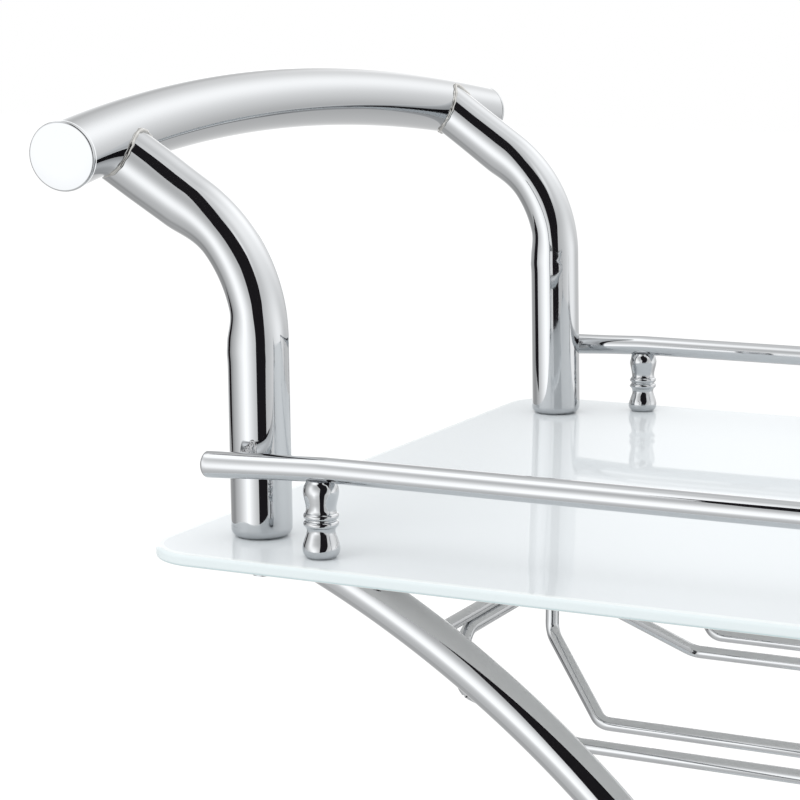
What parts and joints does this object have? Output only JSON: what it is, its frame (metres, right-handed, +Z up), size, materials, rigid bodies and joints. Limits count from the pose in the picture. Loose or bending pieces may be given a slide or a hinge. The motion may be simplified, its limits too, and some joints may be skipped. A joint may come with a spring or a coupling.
{
  "type": "bar cart",
  "caption": "Two-shelf bar cart with a bent-tube chrome frame, push handle, painted glass shelves, gallery rails, stemware rack and swivel casters.",
  "frame": {"origin": "on the floor under the middle of the cart's bounding box", "axes": "+Z up, +X along the cart away from the push handle, +Y across it to the side away from the viewer"},
  "size_m": [0.7098, 0.4148, 0.8826],
  "materials": {
    "chrome": "polished chrome plate on steel tube, wire and turned pieces",
    "painted_glass": "toughened glass painted white underneath, gloss top, polished edges",
    "zinc_steel": "bright zinc plate, satin",
    "rubber": "soft matt rubber",
    "tyre": "matt rubber tread, smooth",
    "wheel_hub": "moulded grey plastic"
  },
  "bodies": {
    "frame": {"top_glass": "painted_glass", "lower_glass": "painted_glass", "grip": "chrome", "grip_caps": "chrome", "post_near": "chrome", "post_far": "chrome", "foot_plugs": "chrome", "rail_near": "chrome", "rail_far": "chrome", "rail_spacers": "chrome", "baluster_near_left": "chrome", "baluster_near_mid": "chrome", "baluster_near_right": "chrome", "baluster_far_left": "chrome", "baluster_far_mid": "chrome", "baluster_far_right": "chrome", "baluster_screws": "zinc_steel", "screw_washers": "rubber", "leg_left_near": "chrome", "leg_left_far": "chrome", "leg_right_near": "chrome", "leg_right_far": "chrome", "upper_plates": "chrome", "lower_plates": "chrome", "glass_pads": "rubber", "waist_tube": "chrome", "waist_caps": "chrome", "rack_bar_left": "chrome", "rack_bar_right": "chrome", "shelf_bar_left": "chrome", "shelf_bar_right": "chrome", "rack_loop_near": "chrome", "rack_loop_far": "chrome", "shelf_pads": "rubber", "post_studs": "zinc_steel", "cap_bolts": "chrome", "upper_nuts": "zinc_steel", "lower_nuts": "zinc_steel", "caster_stems": "zinc_steel"},
    "swivel_left_near": {"fork_left_near": "chrome", "axle_left_near": "chrome"},
    "wheel_left_near": {"wheel_left_near": "wheel_hub", "tyre_left_near": "tyre"},
    "swivel_left_far": {"fork_left_far": "chrome", "axle_left_far": "chrome"},
    "wheel_left_far": {"wheel_left_far": "wheel_hub", "tyre_left_far": "tyre"},
    "swivel_right_near": {"fork_right_near": "chrome", "axle_right_near": "chrome"},
    "wheel_right_near": {"wheel_right_near": "wheel_hub", "tyre_right_near": "tyre"},
    "swivel_right_far": {"fork_right_far": "chrome", "axle_right_far": "chrome"},
    "wheel_right_far": {"wheel_right_far": "wheel_hub", "tyre_right_far": "tyre"}
  },
  "joints": [
    {"name": "swivel_left_near", "type": "hinge", "parent": "frame", "child": "swivel_left_near", "pos_m": [-0.26462, -0.16, 0.055], "axis": [0, 0, 1], "continuous": true},
    {"name": "spin_left_near", "type": "hinge", "parent": "swivel_left_near", "child": "wheel_left_near", "pos_m": [-0.28262, -0.16, 0.025], "axis": [0, 1, 0], "continuous": true},
    {"name": "swivel_left_far", "type": "hinge", "parent": "frame", "child": "swivel_left_far", "pos_m": [-0.26462, 0.16, 0.055], "axis": [0, 0, 1], "continuous": true},
    {"name": "spin_left_far", "type": "hinge", "parent": "swivel_left_far", "child": "wheel_left_far", "pos_m": [-0.28262, 0.16, 0.025], "axis": [0, 1, 0], "continuous": true},
    {"name": "swivel_right_near", "type": "hinge", "parent": "frame", "child": "swivel_right_near", "pos_m": [0.32051, -0.16, 0.055], "axis": [0, 0, 1], "continuous": true},
    {"name": "spin_right_near", "type": "hinge", "parent": "swivel_right_near", "child": "wheel_right_near", "pos_m": [0.30251, -0.16, 0.025], "axis": [0, 1, 0], "continuous": true},
    {"name": "swivel_right_far", "type": "hinge", "parent": "frame", "child": "swivel_right_far", "pos_m": [0.32051, 0.16, 0.055], "axis": [0, 0, 1], "continuous": true},
    {"name": "spin_right_far", "type": "hinge", "parent": "swivel_right_far", "child": "wheel_right_far", "pos_m": [0.30251, 0.16, 0.025], "axis": [0, 1, 0], "continuous": true}
  ]
}
